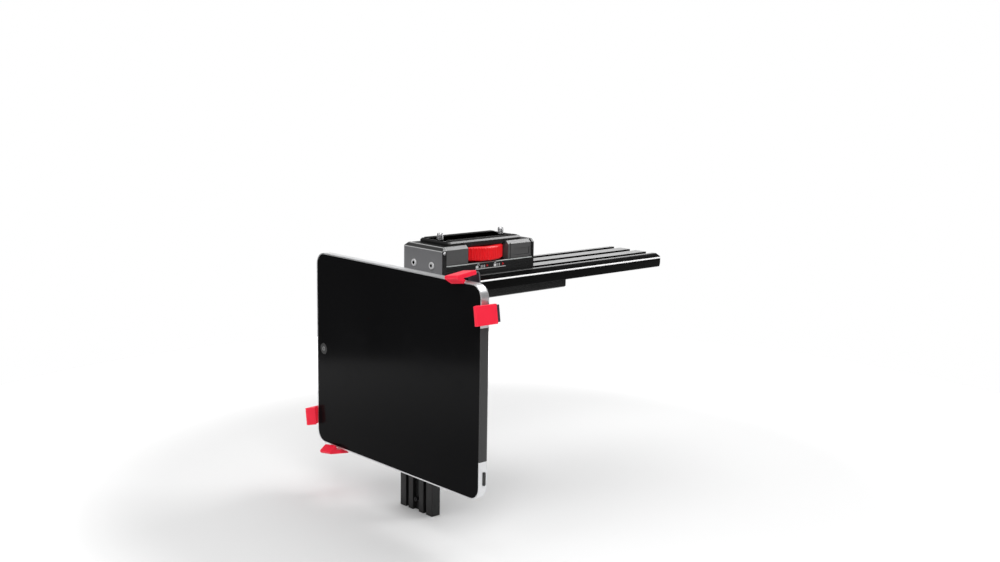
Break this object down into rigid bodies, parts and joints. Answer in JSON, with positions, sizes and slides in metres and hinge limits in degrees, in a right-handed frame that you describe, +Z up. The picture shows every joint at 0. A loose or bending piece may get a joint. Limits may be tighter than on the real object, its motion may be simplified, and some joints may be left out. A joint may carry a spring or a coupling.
{
  "type": "under-lens tablet teleprompter",
  "caption": "Slotted rail with a camera riser block, a hanging post and a spring-clip tablet holder that shows a script under the lens.",
  "frame": {"origin": "mouth of the 3/8-16 tripod hole, on the underside of the mounting foot", "axes": "+Z up; +Y along the rail from the talent towards the operator; +X to the right as the talent sees it"},
  "size_m": [0.262, 0.3349, 0.2635],
  "materials": {
    "black_anodised": "satin black anodised",
    "gloss_black_anodised": "polished black anodised",
    "grey_anodised": "satin grey anodised",
    "bright_screw": "turned steel",
    "black_screw": "black oxide",
    "sheet_steel": "dark plated sheet with bright cut edges",
    "red_anodised": "red anodised, straight knurl",
    "red_rubber": "smooth moulded rubber",
    "black_rubber": "ribbed rubber",
    "black_nylon": "machined nylon",
    "knob_plastic": "moulded, fine grain",
    "tablet_aluminium": "bead blasted",
    "tablet_glass": "polished, black behind",
    "tablet_plastic": "fine satin",
    "tablet_socket": "stamped",
    "tablet_display": "panel",
    "tablet_battery": "foil pouch",
    "tablet_board": "circuit board"
  },
  "bodies": {
    "frame": {"rail": "black_anodised", "mounting_foot": "black_anodised", "foot_screws": "black_screw", "post": "black_anodised", "post_bracket": "black_anodised", "post_bracket_screws": "black_screw", "stop_screws": "black_screw"},
    "riser": {"base_plate": "black_anodised", "guide_strips": "black_nylon", "base_screws": "black_screw", "front_block": "gloss_black_anodised", "rear_block": "gloss_black_anodised", "front_plate": "grey_anodised", "front_plate_screws": "bright_screw", "rear_plate": "black_anodised", "rear_plate_screws": "black_screw", "top_plate": "black_anodised", "top_plate_screws": "black_screw", "camera_pads": "black_rubber", "wheel_washer": "black_nylon"},
    "wheel": {"thumbwheel": "red_anodised"},
    "clamp": {"clamp_bolt": "bright_screw"},
    "front_screw": {"front_camera_screw": "bright_screw"},
    "rear_screw": {"rear_camera_screw": "bright_screw"},
    "button": {"release_button": "bright_screw"},
    "carriage": {"carriage": "black_anodised", "friction_washer": "black_nylon", "pivot_screw": "bright_screw"},
    "carriage_knob": {"carriage_knob": "knob_plastic"},
    "holder": {"spine": "black_anodised", "spine_pads": "black_rubber", "tablet_shell": "tablet_aluminium", "tablet_glass": "tablet_glass", "tablet_display": "tablet_display", "tablet_battery": "tablet_battery", "tablet_logic_board": "tablet_board", "tablet_antenna_window": "tablet_plastic", "tablet_headphone_jack": "tablet_socket", "tablet_dock_connector": "tablet_socket", "tablet_speaker": "tablet_plastic"},
    "home_button": {"tablet_home_button": "tablet_plastic"},
    "sleep_button": {"tablet_sleep_button": "tablet_plastic"},
    "volume_rocker": {"tablet_volume_rocker": "tablet_plastic"},
    "mute_switch": {"tablet_mute_switch": "tablet_plastic"},
    "sim_tray": {"tablet_sim_tray": "tablet_plastic"},
    "upper_arm": {"upper_arm": "sheet_steel", "upper_rivet": "bright_screw"},
    "lower_arm": {"lower_arm": "sheet_steel", "lower_rivet": "bright_screw"},
    "upper_corner": {"upper_bracket": "sheet_steel", "top_sleeve": "red_rubber", "right_sleeve": "red_rubber"},
    "lower_corner": {"lower_bracket": "sheet_steel", "left_sleeve": "red_rubber", "bottom_sleeve": "red_rubber"},
    "upper_knob": {"upper_lock_knob": "knob_plastic"},
    "lower_knob": {"lower_lock_knob": "knob_plastic"}
  },
  "joints": [
    {"name": "riser_slide", "type": "slide", "parent": "frame", "child": "riser", "axis": [0, 1, 0], "range_m": [0, 0.155]},
    {"name": "wheel_turn", "type": "hinge", "parent": "riser", "child": "wheel", "pos_m": [0, -0.047, 0.043], "axis": [0, 0, 1], "range_deg": [0, 60]},
    {"name": "clamp_lower", "type": "slide", "parent": "riser", "child": "clamp", "axis": [0, 0, -1], "range_m": [0, 0.00051]},
    {"name": "front_screw_turn", "type": "hinge", "parent": "riser", "child": "front_screw", "pos_m": [0, -0.084, 0.04], "axis": [0, 0, 1], "continuous": true},
    {"name": "rear_screw_turn", "type": "hinge", "parent": "riser", "child": "rear_screw", "pos_m": [0, -0.008, 0.04], "axis": [0, 0, 1], "continuous": true},
    {"name": "release_press", "type": "slide", "parent": "riser", "child": "button", "axis": [-1, 0, 0], "range_m": [0, 0.0008], "stiffness_N_per_m": 300, "springref_m": -0.001},
    {"name": "carriage_height", "type": "slide", "parent": "frame", "child": "carriage", "axis": [0, 0, 1], "range_m": [-0.08, 0.03]},
    {"name": "carriage_knob_turn", "type": "hinge", "parent": "carriage", "child": "carriage_knob", "pos_m": [0.036, -0.106, -0.061], "axis": [1, 0, 0], "continuous": true},
    {"name": "holder_swivel", "type": "hinge", "parent": "carriage", "child": "holder", "pos_m": [0, -0.118, -0.061], "axis": [0, -1, 0], "range_deg": [-90, 90]},
    {"name": "upper_arm_slide", "type": "slide", "parent": "holder", "child": "upper_arm", "axis": [0.83, 0, 0.5577], "range_m": [0, 0.035]},
    {"name": "lower_arm_slide", "type": "slide", "parent": "holder", "child": "lower_arm", "axis": [-0.83, 0, -0.5577], "range_m": [0, 0.035]},
    {"name": "upper_corner_turn", "type": "hinge", "parent": "upper_arm", "child": "upper_corner", "pos_m": [0.09869, -0.1238, 0.00532], "axis": [0, -1, 0], "range_deg": [-20, 6]},
    {"name": "lower_corner_turn", "type": "hinge", "parent": "lower_arm", "child": "lower_corner", "pos_m": [-0.09869, -0.1238, -0.12732], "axis": [0, -1, 0], "range_deg": [-20, 6]},
    {"name": "upper_knob_turn", "type": "hinge", "parent": "holder", "child": "upper_knob", "pos_m": [0.04565, -0.115, -0.03032], "axis": [0, 1, 0], "continuous": true},
    {"name": "lower_knob_turn", "type": "hinge", "parent": "holder", "child": "lower_knob", "pos_m": [-0.04565, -0.115, -0.09168], "axis": [0, 1, 0], "continuous": true},
    {"name": "home_press", "type": "slide", "parent": "holder", "child": "home_button", "axis": [0, 1, 0], "range_m": [0, 0.0004], "stiffness_N_per_m": 400, "springref_m": -0.0005},
    {"name": "sleep_press", "type": "slide", "parent": "holder", "child": "sleep_button", "axis": [-1, 0, 0], "range_m": [0, 0.0004], "stiffness_N_per_m": 400, "springref_m": -0.0005},
    {"name": "volume_rock", "type": "hinge", "parent": "holder", "child": "volume_rocker", "pos_m": [0.078, -0.1334, -0.15525], "axis": [0, 1, 0], "range_deg": [-1.5, 1.5], "stiffness_Nm_per_rad": 0.05},
    {"name": "mute_slide", "type": "slide", "parent": "holder", "child": "mute_switch", "axis": [1, 0, 0], "range_m": [0, 0.0015]},
    {"name": "sim_tray_slide", "type": "slide", "parent": "holder", "child": "sim_tray", "axis": [0, 0, 1], "range_m": [0, 0.012]}
  ],
  "couplings": [
    {"joint": "clamp_lower", "follows": "wheel_turn", "m_per_rad": 0.000477}
  ]
}
